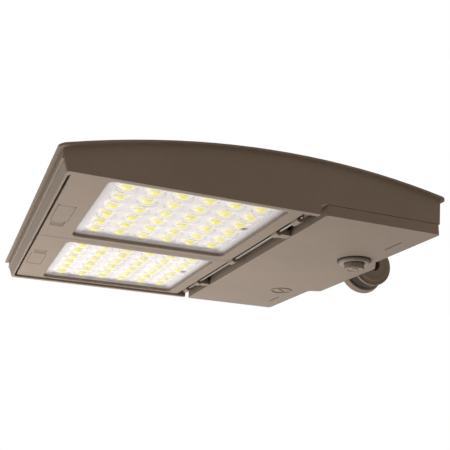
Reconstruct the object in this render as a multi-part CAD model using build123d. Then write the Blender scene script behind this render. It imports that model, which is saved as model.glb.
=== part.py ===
from build123d import *
from math import radians, sqrt, tan
import os

# LED area light seen as it hangs: the light shines down, along -Z.
# Working frame: X runs from the nose to the pole end, Y across, Z up.
# X = 0 is the front row of LEDs, Y = 0 the centre plane, Z = 0 the face of the LEDs.
# Everything is moved at the end, so that the origin is the middle of the tenon socket's mouth.

# LED grid, in millimetres
led_pitch = 25.4
led_rows = 6
led_columns = 6
chip_size = 5.0
chip_height = 1.0
board_thickness = 2.0
board_inset = 3.5

# Optic frames, one on each side of the centre plane
window_margin = 20.0
window_corner = 7.0
window_lip = 3.5
frame_bar = 10.6
frame_side = 5.7
frame_front = 31.5
frame_rear = 13.0
frame_split = 0.8
frame_plate = 3.2
frame_rib = 2.5
frame_corner = 6.0
lens_drop = 2.5
lens_thickness = 2.0
lens_clearance = 0.3
lens_cut = 6.0
dome_radius = 8.2
dome_height = 2.6
dome_bevel = 2.2
dome_flats = 6
gasket_width = 3.0
gasket_inset = 0.4

# Small screws, drawn with flats in holes with the same flats
screw_radius = 2.0
screw_head = 3.8
screw_head_height = 2.4
screw_flats = 6
bolt_flats = 8
screw_bite = 3.0
screw_back = 10.0
screw_spread = 70.0
post_width = 10.0

# Housing casting
fit_gap = 0.3
side_lip = 6.0
front_gap = 3.0
front_lip = 2.0
band_height = 9.2
band_slope = 3.5
ledge_drop = 1.1
ledge_depth = 1.5
bottom_drop = 8.0
wall = 3.0
side_draft = 3.0
corner_radius = 3.0
seat_plate = 6.5
crown_z = 43.5
nose_z = 11.8
crown_back = 146.7
rim_side = 6.5
rim_front = 4.5
rim_rear = 6.0
rim_thickness = 2.0
rim_corner = 6.0
roof = 3.0
grommet_radius = 4.0
grommet_flats = 12
grommet_wall = 2.0
grommet_collar = 1.5

# Cooling fins over the LEDs, pressed into grooves of the seat plate
fin_count = 19
fin_thickness = 2.2
fin_margin = 6.5
fin_back = 39.0
fin_drop = 0.6
fin_foot = 1.5
fin_end_gap = 0.4

# Driver bay and its door
hinge_back = 5.0
rod_radius = 1.5
rod_drop = 4.0
rod_end_gap = 16.0
running_gap = 0.05
seat_gap = 0.02
door_back = 13.0
door_depth = 124.0
door_plate = 3.0
door_skin = 2.5
door_rise = 10.3
door_proud = 0.5
door_seam = 0.4
tab_depth = 14.0
tab_plate = 1.6
tab_chamfer = 1.0
tab_far = 66.0
tab_ogee = 12.0
tab_near = 56.0
tab_slant = 23.0
arm_y = 113.0
arm_width = 11.0
eye_radius = 4.0
arm_inset = 1.0
hook_y = 156.0
hook_width = 12.8
hook_wall = 2.4
hook_flats = 8
notch_width = 6.0
notch_radius = 4.0
seal_width = 3.2
seal_height = 3.4
seal_land = 4.0
seal_cut = 3.0
lip_depth = 4.0
lip_height = 2.5
bay_front_gap = 1.5
slot_back = 18.0
slot_length = 30.0
slot_width = 2.0
slot_y = 138.0

# Door latch
latch_back = 32.0
latch_y = 89.0
knob_radius = 13.5
knob_height = 1.6
knob_slot_length = 19.0
knob_slot_width = 2.0
knob_slot_depth = 1.0
knob_slot_angle = 45.0
latch_shaft = 4.0
latch_square = 5.6
latch_thread = 2.8
tongue_width = 12.0
tongue_thickness = 2.5
tongue_heel = 8.0
tongue_reach = 28.5
tongue_cut = 3.0
tongue_gap = 0.3
latch_nut_flats = 10.0
latch_nut_height = 3.0

# Sensor port in the door, closed by a screwed plug
port_back = 25.0
port_y = 75.0
port_gasket_radius = 18.4
port_gasket_height = 1.5
flange_radius = 17.0
flange_height = 2.4
barrel_radius = 12.5
barrel_rise = 11.0
port_bore = 8.5
plug_radius = 10.4
plug_height = 7.0
plug_flats = 12
plug_face = 0.8
nut_flats = 29.0
nut_height = 4.0

# Tilting knuckle and slip fitter
pivot_back = 38.3
pivot_z = 11.0
hub_near = 13.9
hub_radius = 25.8
hub_split = 4.0
knuckle_gap = 0.3
face_step_radius = 22.4
face_step = 1.7
face_radius = 21.3
face_height = 3.8
bolt_recess = 8.7
disc_radius = 28.0
disc_far_radius = 30.4
disc_width = 7.4
arm_boss_radius = 19.0
arm_boss_y = 25.0
arm_beam_y = 22.0
arm_low_gap = 0.5
arm_height = 19.5
pivot_bolt = 5.0
pivot_head_radius = 8.0
pivot_head_height = 10.0
pivot_head_back = 2.0
hex_socket_flats = 8.0
hex_socket_depth = 5.0
pivot_nut_flats = 17.0
pivot_nut_height = 8.0
pivot_tail = 3.0
washer_radius = 11.0
washer_thickness = 2.5
bolt_running = 0.08
neck_half = 20.0
cup_rise = 34.2
cup_floor = 5.0
cup_chamfer = 3.0
tenon_radius = 30.15
tenon_clearance = 0.35
cup_wall = 7.5
cup_depth = 58.0
cup_offset = 19.0
root_width = 72.0
root_thickness = 6.0
root_bolt_inset = 10.0
root_corner = 5.0
root_bolt = 4.0
root_bolt_clearance = 0.2
root_bolt_flats = 13.0
root_bolt_head = 5.3
web_inset = 4.0
set_bolt = 5.0
set_bolt_flats = 16.0
set_bolt_head = 6.4
set_bolt_low = 16.0
set_bolt_high = 42.0
pad_width = 20.0
pad_proud = 2.0
pad_sink = 3.0

# Selector covers and switches
cover_front = 3.5
cover_depth = 16.0
cover_length = 47.5
near_cover_inner = 53.5
far_cover_inner = 71.3
cover_thickness = 1.6
cover_barrel = 1.5
cover_pin = 0.6
cover_running_gap = 0.1
barrel_inset = 1.2
pin_end = 0.9
pocket_ledge = 2.0
scoop_length = 16.5
scoop_depth = 2.3
scoop_inset = 1.5
switch_length = 26.0
switch_width = 9.0
switch_height = 4.0
switch_slot_depth = 2.5
knob_size = 5.6
knob_rise = 2.4
knob_pitch = 2.0
groove_depth = 0.5
groove_width = 0.8
stem_size = 3.0
stem_height = 2.2
knob_travel = 8.0

# Driver bay contents
driver_length = 150.0
driver_width = 60.0
driver_height = 28.0
driver_cut = 3.0
driver_gap = 3.5
driver_latch_gap = 3.0
driver_y = 60.0
driver_ear = 12.0
ear_thickness = 2.0
ear_inset = 4.0
boss_width = 10.0
boss_inset = 12.0
surge_back = 22.0
surge_y = -92.0
surge_width = 34.0
surge_length = 50.0
surge_height = 22.0
surge_ear = 9.0
surge_ear_inset = 8.0
terminal_back = 24.0
terminal_y = -168.0
terminal_width = 24.0
terminal_length = 60.0
terminal_height = 16.0
terminal_ways = 5
terminal_well = 8.0
terminal_rim = 3.0
pad_gap = 0.5
pad_depth = 5.0

# Levels that follow from the sizes above
seat_z = chip_height + board_thickness
bottom_z = -bottom_drop
lens_face_z = -lens_drop
frame_face_z = lens_face_z - frame_plate
frame_top_z = seat_z - fit_gap
band_top_z = bottom_z + band_height
ledge_z = band_top_z + ledge_drop
fin_floor_z = seat_z + seat_plate
door_top_z = bottom_z + door_rise
bay_bottom_z = door_top_z + door_seam
door_inner_z = bottom_z + door_plate
tongue_z = bay_bottom_z + lip_height + tongue_gap
seal_z = bay_bottom_z - fit_gap - seal_height
port_face_z = bottom_z - port_gasket_height - flange_height
arm_z0 = bay_bottom_z + arm_low_gap
arm_z1 = arm_z0 + arm_height

# Places along X
window_half_x = (led_rows - 1) * led_pitch / 2 + window_margin
window_half_y = (led_columns - 1) * led_pitch / 2 + window_margin
module_x = (led_rows - 1) * led_pitch / 2
frame_x0 = module_x - window_half_x - frame_front
frame_x1 = module_x + window_half_x + frame_rear
inner_x0 = frame_x0 - front_gap
bottom_x0 = inner_x0 - front_lip
rod_x = frame_x1 + hinge_back
rod_z = -rod_drop
door_x0 = rod_x + door_back
door_x1 = door_x0 + door_depth
bay_x0 = door_x0 + seal_land + door_skin + bay_front_gap
bay_x1 = door_x1 - door_skin - lip_depth
pivot_x = door_x1 + pivot_back
rim_x0 = bottom_x0 - band_slope - ledge_depth - rim_front
rim_x1 = door_x1 + rim_rear
fin_x0 = inner_x0 + fin_margin
fin_x1 = rod_x - fin_back
grommet_x = module_x + window_half_x - window_margin / 2 + 1
latch_x = door_x1 - latch_back
port_x = door_x1 - port_back
cover_x0 = frame_x0 + cover_front
cover_x1 = cover_x0 + cover_depth

# Places along Y
module_y = frame_split / 2 + frame_bar + window_half_y
frame_y1 = module_y + window_half_y + frame_side
inner_y = frame_y1 + fit_gap
half_width = inner_y + side_lip
bay_y = half_width - wall - lip_depth
rim_y = half_width + rim_side
rod_half = inner_y - rod_end_gap
fin_pitch = 2 * inner_y / (fin_count + 1)
disc_y1 = hub_split + disc_width
root_y = (hub_split + arm_beam_y) / 2

# Arch of the deck: a circle through the nose of the rim and the crown
crown_x = door_x1 - crown_back
arch_run = crown_x - rim_x0
arch_rise = crown_z - nose_z
arch_radius = (arch_run ** 2 + arch_rise ** 2) / (2 * arch_rise)
arch_z = crown_z - arch_radius
sky = crown_z + 20


def arch_height(x, drop):
    return arch_z + sqrt((arch_radius - drop) ** 2 - (x - crown_x) ** 2)


# What hangs from the roof of the driver bay
driver_x = latch_x - tongue_heel - driver_latch_gap - driver_width / 2
driver_top = arch_height(driver_x + driver_width / 2, roof) - driver_gap
surge_x = door_x0 + surge_back
surge_top = arch_height(surge_x + surge_width, roof) - pad_gap
terminal_x = door_x0 + terminal_back
terminal_top = arch_height(terminal_x + terminal_width, roof) - pad_gap

# Tenon socket
cup_x = pivot_x - cup_offset
bore_radius = tenon_radius + tenon_clearance
cup_radius = bore_radius + cup_wall
cup_z0 = pivot_z + cup_rise
bore_z0 = cup_z0 + cup_floor
mouth_z = bore_z0 + cup_depth

# Sides of the light: -1 is the near side, +1 the far side
sides = {"near": -1, "far": 1}
cover_inner = {-1: near_cover_inner, 1: far_cover_inner}


def block(x0, x1, y0, y1, z0, z1):
    return Pos((x0 + x1) / 2, (y0 + y1) / 2, (z0 + z1) / 2) * Box(x1 - x0, y1 - y0, z1 - z0)


def rounded_block(x0, x1, y0, y1, z0, z1, radius):
    outline = Pos((x0 + x1) / 2, (y0 + y1) / 2, z0) * RectangleRounded(x1 - x0, y1 - y0, radius)
    return extrude(outline, z1 - z0)


def cut_block(x0, x1, y0, y1, z0, z1, cut):
    """Block with its four upright corners cut off at 45 degrees."""
    outline = chamfer(Rectangle(x1 - x0, y1 - y0).vertices(), cut)
    return extrude(Pos((x0 + x1) / 2, (y0 + y1) / 2, z0) * outline, z1 - z0)


def pin_x(y, z, radius, x0, x1):
    return Pos((x0 + x1) / 2, y, z) * Rot(0, 90, 0) * Cylinder(radius, x1 - x0)


def pin_y(x, z, radius, y0, y1):
    return Pos(x, (y0 + y1) / 2, z) * Rot(90, 0, 0) * Cylinder(radius, y1 - y0)


def pin_z(x, y, radius, z0, z1):
    return Pos(x, y, (z0 + z1) / 2) * Cylinder(radius, z1 - z0)


def side_plate(points, y0, y1):
    outline = Plane.XZ.offset(-y1) * make_face(Polyline(*points, close=True))
    return extrude(outline, y1 - y0)


def prism(centre, axis, flats, height, sides_count=6):
    """Regular prism that stands on centre; flats is its width across opposite sides."""
    plane = Plane(origin=centre, z_dir=axis)
    return extrude(plane * RegularPolygon(flats / 2, sides_count, major_radius=False), height)


def under_arch(drop):
    return pin_y(crown_x, arch_z, arch_radius - drop, -2 * rim_y, 2 * rim_y)


def group(solids):
    return Compound(children=list(solids))


def mirrored(shape, side):
    """The far side is drawn; the near side is its mirror image."""
    if side > 0:
        return shape
    return shape.mirror(Plane.XZ)


def small_shank(x, y, z0, z1):
    return prism((x, y, z0), (0, 0, 1), 2 * screw_radius, z1 - z0, screw_flats)


def lead_hole(side, radius, z0, z1):
    return prism((grommet_x, side * module_y, z0), (0, 0, 1), 2 * radius, z1 - z0, grommet_flats)


def bolt_shank(centre, axis, radius, length):
    return prism(centre, axis, 2 * radius, length, bolt_flats)


def small_head(x, y, z0):
    return prism((x, y, z0), (0, 0, 1), 2 * screw_head, screw_head_height, screw_flats)


def lens_outline(grow, z0, z1):
    """Block with the outline of a lens plate, every side of it moved out by the same amount."""
    half_x = window_half_x + window_lip + grow
    half_y = window_half_y + window_lip + grow
    x0, x1 = module_x - half_x, module_x + half_x
    y0, y1 = module_y - half_y, module_y + half_y
    return cut_block(x0, x1, y0, y1, z0, z1, lens_cut + grow * (2 - sqrt(2)))


def drafted(points):
    """Side outline carried across the light between its two drafted flanks."""
    spread = (sky - bottom_z) * tan(radians(side_draft))
    front = Polyline(
        (-half_width, bottom_z),
        (half_width, bottom_z),
        (half_width + spread, sky),
        (-half_width - spread, sky),
        close=True,
    )
    across = extrude(Plane.YZ.offset(rim_x0) * make_face(front), rim_x1 + sky - rim_x0)
    body = side_plate(points, -2 * half_width, 2 * half_width) & across
    return fillet([edge for edge in body.edges() if is_front_corner(edge)], corner_radius)


def is_front_corner(edge):
    upright = abs((edge % 0.5).Z) > 0.9
    middle = edge.center()
    return upright and abs(middle.Y) > half_width - 1 and middle.X < module_x


def housing_envelope():
    """Outside of the casting below the rim, with the drafted sides and the stepped nose."""
    nose_x = bottom_x0 - band_slope
    tail_x = door_x1 + sky * tan(radians(side_draft))
    band = [
        (bottom_x0, bottom_z),
        (nose_x, band_top_z),
        (nose_x, ledge_z),
        (door_x1, ledge_z),
        (door_x1, bottom_z),
    ]
    upper = [
        (nose_x - ledge_depth, ledge_z),
        (nose_x - ledge_depth, sky),
        (tail_x, sky),
        (door_x1, ledge_z),
    ]
    return drafted(band) + drafted(upper)


def rim():
    plan = rounded_block(rim_x0, rim_x1, -rim_y, rim_y, 0, sky, rim_corner)
    return (plan & under_arch(0)) - under_arch(rim_thickness)


def fin_places():
    return [(i + 1) * fin_pitch - inner_y for i in range(fin_count)]


def fin_blanks():
    """Upright sheets between the front and the bay, before they are cut to the arch."""
    x0, x1 = fin_x0 + fin_end_gap, fin_x1 - fin_end_gap
    half = fin_thickness / 2
    return [block(x0, x1, y - half, y + half, fin_floor_z - fin_foot, sky) for y in fin_places()]


def cooling_fins():
    return group(blank & under_arch(fin_drop) for blank in fin_blanks())


def hook_profile():
    """Hook that hangs from the casting and cradles the hinge rod from behind and below."""
    outer = rod_radius + hook_wall
    ring = RegularPolygon(outer, hook_flats, major_radius=False)
    ring -= RegularPolygon(rod_radius + seat_gap, hook_flats, major_radius=False)
    mouth = Pos(-outer, outer) * Rectangle(2 * outer, 2 * outer)
    root_top = (seat_z + fin_floor_z) / 2
    stem = Pos(rod_x + rod_radius + hook_wall / 2 + seat_gap, (rod_z + root_top) / 2)
    return Pos(rod_x, rod_z) * (ring - mouth) + stem * Rectangle(hook_wall, root_top - rod_z)


def hooks():
    profile = Plane.XZ * hook_profile()
    return [Pos(0, y + hook_width / 2, 0) * extrude(profile, hook_width) for y in (-hook_y, 0, hook_y)]


def side_notch():
    """Everything behind the notch is lifted to the seam over the door's flange."""
    notch_x = door_x0 - notch_width
    cut = block(notch_x, 2 * door_x1, -rim_y, rim_y, 2 * bottom_z, bay_bottom_z)
    return fillet([edge for edge in cut.edges() if is_heel(edge, notch_x)], notch_radius)


def is_heel(edge, notch_x):
    middle = edge.center()
    return abs(middle.X - notch_x) < seat_gap and abs(middle.Z - bay_bottom_z) < seat_gap


def root_z():
    return (arm_z0 + arm_z1) / 2


def root_bolt_places():
    reach = root_width / 2 - root_bolt_inset
    return (root_y - reach, root_y + reach)


def channel_y(number):
    """Middle of a channel between two fins, counted from the centre plane."""
    return (number + 0.5) * fin_pitch


def frame_screw_places():
    front = frame_x0 + screw_back
    rear = frame_x1 - frame_rear / 2
    places = []
    for side in sides.values():
        for offset in (-screw_spread, screw_spread):
            places.append((rear, side * (module_y + offset)))
        for channel in (1, fin_count // 2 - 1):
            places.append((front, side * channel_y(channel)))
    return places


def driver_ends():
    return (driver_y - driver_length / 2, driver_y + driver_length / 2)


def driver_screw_places():
    low, high = driver_ends()
    across = driver_width / 2 - boss_inset
    middles = (low - driver_ear / 2, high + driver_ear / 2)
    return [(driver_x + dx, y) for y in middles for dx in (-across, across)]


def driver_bosses():
    half = boss_width / 2
    return [
        block(x - half, x + half, y - half, y + half, driver_top, arch_height(x, roof) + 1)
        for x, y in driver_screw_places()
    ]


def roof_pads():
    """Flat pads under the roof, which seat the surge protector and the terminal block."""
    x1, y1 = surge_x + surge_width, surge_y + surge_length
    surge = block(surge_x, x1, surge_y, y1, surge_top, surge_top + pad_depth)
    x1, y1 = terminal_x + terminal_width, terminal_y + terminal_length
    terminal = block(terminal_x, x1, terminal_y, y1, terminal_top, terminal_top + pad_depth)
    return [pad & under_arch(roof / 2) for pad in (surge, terminal)]


def housing():
    body = housing_envelope() & under_arch(rim_thickness / 2)
    body += rim()

    # room for the optic frames, open at the back into the hinge trough
    body -= rounded_block(inner_x0, door_x0 + 1, -inner_y, inner_y, 2 * bottom_z, seat_z, frame_corner)
    body -= side_notch()

    # driver bay: mouth, seal lip, and the room above the seat plate in front of it
    body -= block(bay_x0, bay_x1, -bay_y, bay_y, bottom_z, sky / 2) & under_arch(roof)
    side = half_width - wall
    bay = block(bay_x0, door_x1 - wall, -side, side, bay_bottom_z + lip_height, sky)
    shelf = block(fin_x1 + wall, bay_x0 + 1, -side, side, fin_floor_z, sky)
    body -= (bay + shelf) & under_arch(roof)

    # fin field over the LEDs, with the grooves that hold the fins
    body -= block(fin_x0, fin_x1, -inner_y, inner_y, fin_floor_z, sky)
    for blank in fin_blanks():
        body -= blank

    for piece in hooks() + driver_bosses() + roof_pads():
        body += piece
    for y in root_bolt_places():
        centre = (door_x1 - 2 * wall, y, root_z())
        body -= bolt_shank(centre, (1, 0, 0), root_bolt + root_bolt_clearance, 4 * wall)
    for x, y in frame_screw_places():
        body -= small_shank(x, y, seat_z - 1, fin_floor_z + 1)
    for side in sides.values():
        body -= lead_hole(side, grommet_radius, seat_z - 1, fin_floor_z + 1)
    return body


def cover_ends(side):
    return cover_inner[side], cover_inner[side] + cover_length


def optic_frame(side):
    """Cast frame that holds one lens against the housing, drawn on the far side."""
    # its corners are round along the housing and square along the centre plane
    body = rounded_block(frame_x0, frame_x1, -frame_y1, frame_y1, frame_face_z, frame_top_z, frame_corner)
    body -= block(2 * rim_x0, 2 * rim_x1, -rim_y, frame_split / 2, 2 * bottom_z, sky)

    window_x0, window_x1 = module_x - window_half_x, module_x + window_half_x
    window_y0, window_y1 = module_y - window_half_y, module_y + window_half_y
    body -= rounded_block(window_x0, window_x1, window_y0, window_y1, 2 * bottom_z, seat_z, window_corner)
    body -= lens_outline(lens_clearance, lens_face_z, seat_z)

    # hollow behind the front margin, with two screw posts
    rib = frame_rib
    hollow_x1 = window_x0 - window_lip - lens_clearance - rib
    hollow = block(frame_x0 + rib, hollow_x1, frame_split / 2 + rib, frame_y1 - rib, lens_face_z, seat_z)
    half = post_width / 2
    for x, y in frame_screw_places():
        hollow -= block(x - half, x + half, abs(y) - half, abs(y) + half, bottom_z, sky)
    body -= hollow

    body -= cover_pocket(side)
    for x, y in frame_screw_places():
        body -= small_shank(x, abs(y), fin_floor_z - screw_length(), seat_z + 1)
    return mirrored(body, side)


def cover_pocket(side):
    """Room for a selector cover and its pin, the hollow behind it, and a finger scoop at its free end."""
    y0, y1 = cover_ends(side)
    gap = fit_gap
    top = frame_face_z + cover_thickness + gap / 2
    room = block(cover_x0 - gap, cover_x1 + gap, y0 - gap, y1 + gap, 2 * bottom_z, top)
    ledge = pocket_ledge
    barrel_y = y1 - 2 * cover_barrel - gap
    room += block(cover_x0 + ledge, cover_x1 - ledge, y0 + ledge, barrel_y, frame_face_z, seat_z)
    step = barrel_inset - gap
    room += block(cover_x0 + step, cover_x1 - step, barrel_y - gap, y1 + gap, frame_face_z, lens_face_z + 1)
    room += cover_axle(side, cover_pin + seat_gap, pin_end)

    half = scoop_length / 2
    scoop_radius = (half ** 2 + scoop_depth ** 2) / (2 * scoop_depth)
    scoop_z = frame_face_z + scoop_depth - scoop_radius
    return room + pin_x(y0 - half, scoop_z, scoop_radius, cover_x0 + scoop_inset, cover_x1 - scoop_inset)


def cover_axis_y(side):
    return cover_inner[side] + cover_length - cover_barrel


def cover_axis_z():
    return frame_face_z + cover_barrel


def cover_axle(side, radius, reach):
    """Prism along a cover's hinge line, reaching past the cover's ends."""
    centre = (cover_x0 - reach, cover_axis_y(side), cover_axis_z())
    return bolt_shank(centre, (1, 0, 0), radius, cover_depth + 2 * reach)


def selector_cover(side):
    y, z = cover_axis_y(side), cover_axis_z()
    body = block(cover_x0, cover_x1, cover_inner[side], y, frame_face_z, frame_face_z + cover_thickness)
    body += cover_axle(side, cover_barrel, -barrel_inset)
    body -= pin_x(y, z, cover_pin + cover_running_gap, cover_x0, cover_x1)
    return mirrored(body, side)


def cover_hinge_pin(side):
    return mirrored(cover_axle(side, cover_pin, pin_end), side)


def switch_centre(side):
    return cover_x0 + cover_depth / 2, cover_inner[side] + cover_length / 2


def switch_body(side):
    x, y = switch_centre(side)
    half_x, half_y = switch_width / 2, switch_length / 2
    z0 = seat_z - switch_height
    body = block(x - half_x, x + half_x, y - half_y, y + half_y, z0, seat_z)
    slot = stem_size / 2 + fit_gap
    run = knob_travel / 2 + stem_size / 2 + fit_gap
    body -= block(x - slot, x + slot, y - run, y + run, z0 - 1, z0 + switch_slot_depth)
    return mirrored(body, side)


def selector_knob(side):
    x, y = switch_centre(side)
    y -= knob_travel / 2
    z1 = seat_z - switch_height - fit_gap
    z0 = z1 - knob_rise
    half = knob_size / 2
    stem = stem_size / 2
    body = block(x - half, x + half, y - half, y + half, z0, z1)
    for k in (-1, 0, 1):
        groove_y = y + k * knob_pitch - groove_width / 2
        body -= block(x - half, x + half, groove_y, groove_y + groove_width, z0, z0 + groove_depth)
    body += block(x - stem, x + stem, y - stem, y + stem, z1, z1 + stem_height)
    return mirrored(body, side)


def led_places(side=1):
    places = []
    for i in range(led_rows):
        for j in range(led_columns):
            across = module_y + (j - (led_columns - 1) / 2) * led_pitch
            places.append((i * led_pitch, side * across))
    return places


def lens_dome():
    """One optic under the plate, a shallow cup with flats that stand in for its curve."""
    root = (0, 0, lens_face_z + lens_thickness / 2)
    cup = prism(root, (0, 0, -1), 2 * dome_radius, dome_height + lens_thickness / 2, dome_flats)
    return chamfer(cup.faces().sort_by(Axis.Z)[0].edges(), dome_bevel)


def lens(side):
    """Clear plate with one dome for each LED."""
    plate = lens_outline(0, lens_face_z, lens_face_z + lens_thickness)
    dome = lens_dome()
    return mirrored(plate + [Pos(x, y, 0) * dome for x, y in led_places()], side)


def lens_gasket(side):
    z0 = lens_face_z + lens_thickness
    ring = lens_outline(-gasket_inset, z0, seat_z)
    return mirrored(ring - lens_outline(-gasket_inset - gasket_width, z0, seat_z), side)


def led_board(side):
    half_x, half_y = window_half_x - board_inset, window_half_y - board_inset
    x0, x1 = module_x - half_x, module_x + half_x
    board = block(x0, x1, module_y - half_y, module_y + half_y, chip_height, seat_z)
    return mirrored(board - lead_hole(1, grommet_radius, 0, seat_z + 1), side)


def led_chips(side):
    half = chip_size / 2
    return group(block(x - half, x + half, y - half, y + half, 0, chip_height) for x, y in led_places(side))


def lead_grommets():
    rings = []
    top = fin_floor_z + grommet_collar
    for side in sides.values():
        ring = lead_hole(side, grommet_radius, seat_z, fin_floor_z)
        ring += lead_hole(side, grommet_radius + grommet_collar, fin_floor_z, top)
        rings.append(ring - lead_hole(side, grommet_radius - grommet_wall, seat_z - 1, top + 1))
    return group(rings)


def screw_length():
    return fin_floor_z - frame_face_z - screw_bite


def frame_screws():
    return group(
        small_shank(x, y, fin_floor_z - screw_length(), fin_floor_z) + small_head(x, y, fin_floor_z)
        for x, y in frame_screw_places()
    )


def hinge_rod():
    return pin_y(rod_x, rod_z, rod_radius, -rod_half, rod_half)


def tab_outline():
    """Rear edge of the door: a shallow tab with a soft S at one end and a slanted cut at the other."""
    x1 = door_x1 + tab_depth
    x0 = door_x1 - 1
    swing = Spline(
        (door_x1, tab_far + tab_ogee), (x1, tab_far),
        tangents=[(0, -1), (0, -1)],
    )
    straight = Polyline(
        (x1, tab_far), (x1, -tab_near), (door_x1, -tab_near - tab_slant),
        (x0, -tab_near - tab_slant), (x0, tab_far + tab_ogee), (door_x1, tab_far + tab_ogee),
    )
    return make_face(swing + straight)


def door_tab():
    """Thin tab behind the door, chamfered along its upper rear edge."""
    x1 = door_x1 + tab_depth
    top = bottom_z + tab_plate
    bevel = [(x1, bottom_z), (x1 - tab_chamfer, top), (x1, top)]
    tab = extrude(Pos(0, 0, bottom_z) * tab_outline(), tab_plate)
    return tab - side_plate(bevel, -half_width, half_width)


def door_arm(y):
    half = arm_width / 2
    eye = prism((rod_x, y - half, rod_z), (0, 1, 0), 2 * eye_radius, arm_width, hook_flats)
    bar = [
        (rod_x, rod_z - eye_radius + arm_inset),
        (door_x0 + arm_inset, bottom_z + arm_inset),
        (door_x0 + arm_inset, rod_z + eye_radius - arm_inset),
        (rod_x, rod_z + eye_radius - arm_inset),
    ]
    return eye + side_plate(bar, y - half, y + half)


def seal_ring(width, z0, z1):
    """Ring that runs round the inside of the door, just inside its flange."""
    y1 = half_width + door_proud - door_skin
    x0, x1 = door_x0 + door_skin, door_x1 - door_skin
    outer = block(x0, x1, -y1, y1, z0, z1)
    return outer - block(x0 + width, x1 - width, -y1 + width, y1 - width, z0 - 1, z1 + 1)


def driver_door():
    y1 = half_width + door_proud
    body = rounded_block(door_x0, door_x1, -y1, y1, bottom_z, door_top_z, corner_radius)
    y1 -= door_skin
    body -= block(door_x0 + door_skin, door_x1 - door_skin, -y1, y1, door_inner_z, sky)
    body += seal_ring(seal_land, door_inner_z, seal_z) + door_tab()
    for y in (-arm_y, arm_y):
        body += door_arm(y)
    body -= pin_y(rod_x, rod_z, rod_radius + running_gap, -half_width, half_width)

    body -= pin_z(latch_x, latch_y, knob_radius + fit_gap, 2 * bottom_z, bottom_z + knob_height)
    body -= pin_z(latch_x, latch_y, latch_shaft + running_gap, 2 * bottom_z, 0)
    body -= pin_z(port_x, -port_y, barrel_radius + seat_gap, 2 * bottom_z, 0)
    slot = Box(slot_width, slot_length, -4 * bottom_z)
    for y in (-slot_y, slot_y):
        body -= Pos(door_x1 - slot_back, y, 0) * slot
    return body


def door_gasket():
    inset = (seal_land - seal_width) / 2
    y1 = half_width + door_proud - door_skin - inset
    x0, x1 = door_x0 + door_skin + inset, door_x1 - door_skin - inset
    outer = cut_block(x0, x1, -y1, y1, seal_z, seal_z + seal_height, seal_cut)
    x0, x1, y1 = x0 + seal_width, x1 - seal_width, y1 - seal_width
    return outer - block(x0, x1, -y1, y1, seal_z - 1, seal_z + seal_height + 1)


def door_latch():
    top = tongue_z + tongue_thickness
    body = pin_z(latch_x, latch_y, knob_radius, bottom_z, bottom_z + knob_height)
    body += pin_z(latch_x, latch_y, latch_shaft, bottom_z + knob_height, tongue_z)
    body += latch_key(tongue_z, top) + pin_z(latch_x, latch_y, latch_thread, top, top + latch_nut_height)
    slot = Rot(0, 0, knob_slot_angle) * Box(knob_slot_length, knob_slot_width, 2 * knob_slot_depth)
    return body - Pos(latch_x, latch_y, bottom_z) * slot


def latch_key(z0, z1):
    half = latch_square / 2
    return block(latch_x - half, latch_x + half, latch_y - half, latch_y + half, z0, z1)


def latch_tongue():
    half = tongue_width / 2
    x0, x1 = latch_x - tongue_heel, latch_x + tongue_reach
    top = tongue_z + tongue_thickness
    body = cut_block(x0, x1, latch_y - half, latch_y + half, tongue_z, top, tongue_cut)
    return body - latch_key(tongue_z - 1, top + 1)


def latch_nut():
    z0 = tongue_z + tongue_thickness
    nut = prism((latch_x, latch_y, z0), (0, 0, 1), latch_nut_flats, latch_nut_height)
    return nut - pin_z(latch_x, latch_y, latch_thread, z0 - 1, z0 + latch_nut_height + 1)


def receptacle_gasket():
    z0 = bottom_z - port_gasket_height
    ring = pin_z(port_x, -port_y, port_gasket_radius, z0, bottom_z)
    return ring - pin_z(port_x, -port_y, barrel_radius + seat_gap, z0 - 1, bottom_z + 1)


def receptacle_ring():
    """Flanged bush through the door, with the plug's thread drawn as a plain bore."""
    body = pin_z(port_x, -port_y, flange_radius, port_face_z, port_face_z + flange_height)
    body += pin_z(port_x, -port_y, barrel_radius, port_face_z, bottom_z + barrel_rise)
    return body - pin_z(port_x, -port_y, port_bore, port_face_z - 1, bottom_z + barrel_rise + 1)


def receptacle_plug():
    """Screwed plug that closes the port; its grips are the flats of a twelve-sided cap."""
    cap = prism((port_x, -port_y, port_face_z), (0, 0, -1), 2 * plug_radius, plug_height, plug_flats)
    tip = cap.faces().sort_by(Axis.Z)[0]
    cap = chamfer(tip.edges(), plug_face)
    return cap + pin_z(port_x, -port_y, port_bore - seat_gap, port_face_z - 1, bottom_z + barrel_rise)


def receptacle_nut():
    nut = prism((port_x, -port_y, door_inner_z), (0, 0, 1), nut_flats, nut_height)
    return nut - pin_z(port_x, -port_y, barrel_radius, door_inner_z - 1, door_inner_z + nut_height + 1)


def led_driver():
    low, high = driver_ends()
    half = driver_width / 2
    x0, x1 = driver_x - half, driver_x + half
    body = cut_block(x0, x1, low, high, driver_top - driver_height, driver_top, driver_cut)
    ear_z = driver_top - ear_thickness
    body += block(x0 + ear_inset, x1 - ear_inset, low - driver_ear, high + driver_ear, ear_z, driver_top)
    for x, y in driver_screw_places():
        body -= small_shank(x, y, ear_z - 1, driver_top + 1)
    return body


def driver_screws():
    ear_z = driver_top - ear_thickness
    return group(
        small_head(x, y, ear_z - screw_head_height) + small_shank(x, y, ear_z, driver_top)
        for x, y in driver_screw_places()
    )


def surge_protector():
    x0, x1 = surge_x, surge_x + surge_width
    y0, y1 = surge_y, surge_y + surge_length
    body = block(x0, x1, y0, y1, surge_top - surge_height, surge_top)
    x0, x1 = x0 + surge_ear_inset, x1 - surge_ear_inset
    return body + block(x0, x1, y0 - surge_ear, y1 + surge_ear, surge_top - ear_thickness, surge_top)


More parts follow.
